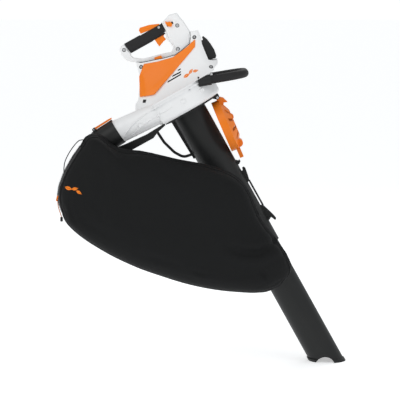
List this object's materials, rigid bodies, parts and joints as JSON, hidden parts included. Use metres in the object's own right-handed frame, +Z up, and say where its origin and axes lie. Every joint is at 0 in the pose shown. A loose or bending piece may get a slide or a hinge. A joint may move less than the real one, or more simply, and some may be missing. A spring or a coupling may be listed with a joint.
{
  "type": "leaf vacuum mulcher",
  "caption": "Battery leaf vacuum mulcher: looped rear handle, faceted motor housing over a round fan housing, long slanted suction tube and a full fabric catcher bag on its outlet elbow.",
  "frame": {"origin": "middle of the rear grip, where the hand carries the machine", "axes": "+Z up, +X towards the battery and the front loop handle, -Y towards the side the bag hangs on; the suction tube leans 29 degrees as carried"},
  "size_m": [0.9192, 0.364, 1.1162],
  "materials": {
    "white_plastic": "satin",
    "orange_plastic": "satin",
    "black_plastic": "textured",
    "grip_rubber": "matte",
    "bag_fabric": "woven",
    "cord_black": "braided",
    "cord_orange": "braided",
    "steel": "satin",
    "cast_aluminium": "satin",
    "laminations": "satin",
    "winding_copper": "enamelled",
    "board_green": "solder mask"
  },
  "bodies": {
    "root": {"handle_shell_near": "white_plastic", "handle_shell_far": "white_plastic", "grip_sleeve": "grip_rubber", "grip_springs": "steel", "grip_pins": "steel", "switch_module": "black_plastic", "casing_screws": "steel", "motor_cover_near": "white_plastic", "motor_cover_far": "white_plastic", "side_panel_near": "orange_plastic", "side_panel_far": "orange_plastic", "battery_guides": "black_plastic", "battery_contacts": "black_plastic", "controller_board": "board_green", "phase_wires": "cord_black", "motor_can": "cast_aluminium", "motor_stator": "laminations", "stator_coils": "winding_copper", "motor_flange": "cast_aluminium", "flange_screws": "steel", "shaft_bearings": "steel", "fan_housing_upper": "white_plastic", "fan_housing_lower": "white_plastic", "fan_flange": "white_plastic", "housing_screws": "steel", "intake_plate": "black_plastic", "elbow_arm": "black_plastic", "loop_handle": "grip_rubber", "loop_sockets": "black_plastic", "screen_pin": "steel", "suction_tube_upper": "black_plastic", "suction_tube_lower": "black_plastic", "tube_collar": "black_plastic", "tube_stay": "black_plastic", "tube_hook": "black_plastic", "strap_hook": "black_plastic", "bag_bracket": "black_plastic", "tension_cord": "cord_black", "outlet_elbow": "black_plastic", "bag_ring": "black_plastic", "latch_lugs": "black_plastic", "latch_pin": "steel", "catcher_bag": "bag_fabric", "zipper_slider": "orange_plastic", "pull_cord": "cord_orange", "pull_knob": "black_plastic", "hand_loop": "cord_black"},
    "rotor": {"rotor_shaft": "steel", "rotor_core": "laminations", "impeller": "black_plastic", "hub_spacer": "steel", "shredder_blade": "steel", "rotor_nut": "steel"},
    "trigger_body": {"trigger": "orange_plastic"},
    "ergo_lever_body": {"ergo_lever": "orange_plastic"},
    "release_slide_body": {"release_slide": "orange_plastic"},
    "battery": {"battery_pack": "black_plastic"},
    "battery_release_body": {"battery_release": "orange_plastic"},
    "screen_body": {"intake_screen": "orange_plastic"},
    "outlet_latch_body": {"outlet_latch": "orange_plastic"}
  },
  "joints": [
    {"name": "rotor_spin", "type": "hinge", "parent": "root", "child": "rotor", "pos_m": [0.1051, 0, -0.17042], "axis": [-0.4848, 0, 0.8746], "continuous": true},
    {"name": "trigger_pull", "type": "hinge", "parent": "root", "child": "trigger_body", "pos_m": [0.0572, 0, 0.01913], "axis": [0, 1, 0], "range_deg": [0, 13], "stiffness_Nm_per_rad": 0.5, "springref_deg": -6.88},
    {"name": "lever_press", "type": "hinge", "parent": "root", "child": "ergo_lever_body", "pos_m": [0.04449, 0, 0.03381], "axis": [0, -1, 0], "range_deg": [0, 12], "stiffness_Nm_per_rad": 0.5, "springref_deg": -6.88},
    {"name": "release_push", "type": "slide", "parent": "root", "child": "release_slide_body", "axis": [0.8746, 0, 0.4848], "range_m": [0, 0.005], "stiffness_N_per_m": 200, "springref_m": -0.003},
    {"name": "battery_pull", "type": "slide", "parent": "root", "child": "battery", "axis": [0.8746, 0, 0.4848], "range_m": [0, 0.125]},
    {"name": "battery_release_press", "type": "slide", "parent": "root", "child": "battery_release_body", "axis": [0.4848, 0, -0.8746], "range_m": [0, 0.004], "stiffness_N_per_m": 300, "springref_m": -0.003},
    {"name": "screen_swing", "type": "hinge", "parent": "root", "child": "screen_body", "pos_m": [0.22979, 0, -0.18705], "axis": [0, -1, 0], "range_deg": [0, 50]},
    {"name": "latch_lift", "type": "hinge", "parent": "root", "child": "outlet_latch_body", "pos_m": [-0.15739, -0.085, -0.2828], "axis": [0, -1, 0], "range_deg": [0, 40]}
  ]
}
